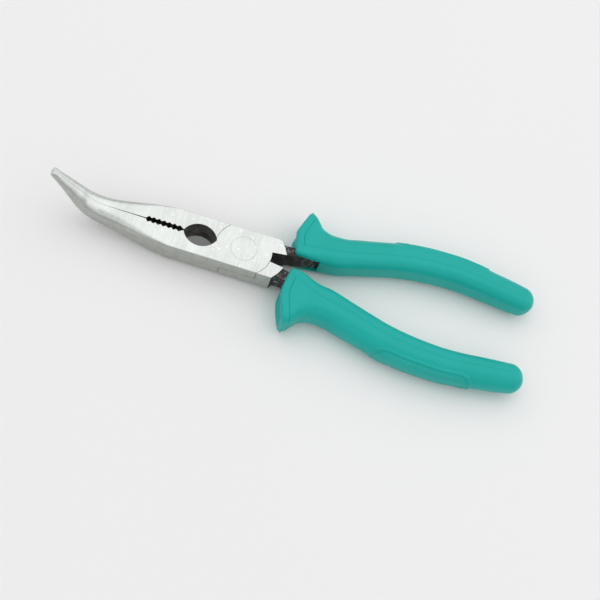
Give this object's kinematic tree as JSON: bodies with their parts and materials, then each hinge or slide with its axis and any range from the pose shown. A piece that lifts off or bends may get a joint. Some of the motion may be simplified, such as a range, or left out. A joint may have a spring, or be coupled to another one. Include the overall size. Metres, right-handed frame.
{
  "type": "bent nose pliers",
  "caption": "Bent long nose pliers: two forged halves lapped on a flush rivet, with pipe grip, serrated jaws and flared moulded grips.",
  "frame": {"origin": "where the rivet's axis meets the joint's back face", "axes": "+X along the pliers to the nose tip, +Z the joint's front face normal and the way the nose bends, +Y to the side of the front half's jaw"},
  "size_m": [0.2053, 0.0578, 0.0266],
  "materials": {
    "forged_steel": "ground and satin polished head, black forged scale on the tang",
    "rivet_steel": "ground flush",
    "grip_plastic": "moulded teal plastic, satin"
  },
  "bodies": {
    "rear": {"rear_half": "forged_steel", "pivot_rivet": "rivet_steel", "rear_grip": "grip_plastic"},
    "front": {"front_half": "forged_steel", "front_grip": "grip_plastic"}
  },
  "joints": [
    {"name": "jaw_pivot", "type": "hinge", "parent": "rear", "child": "front", "pos_m": [0, 0, 0.00515], "axis": [0, 0, 1], "range_deg": [0, 60]}
  ]
}
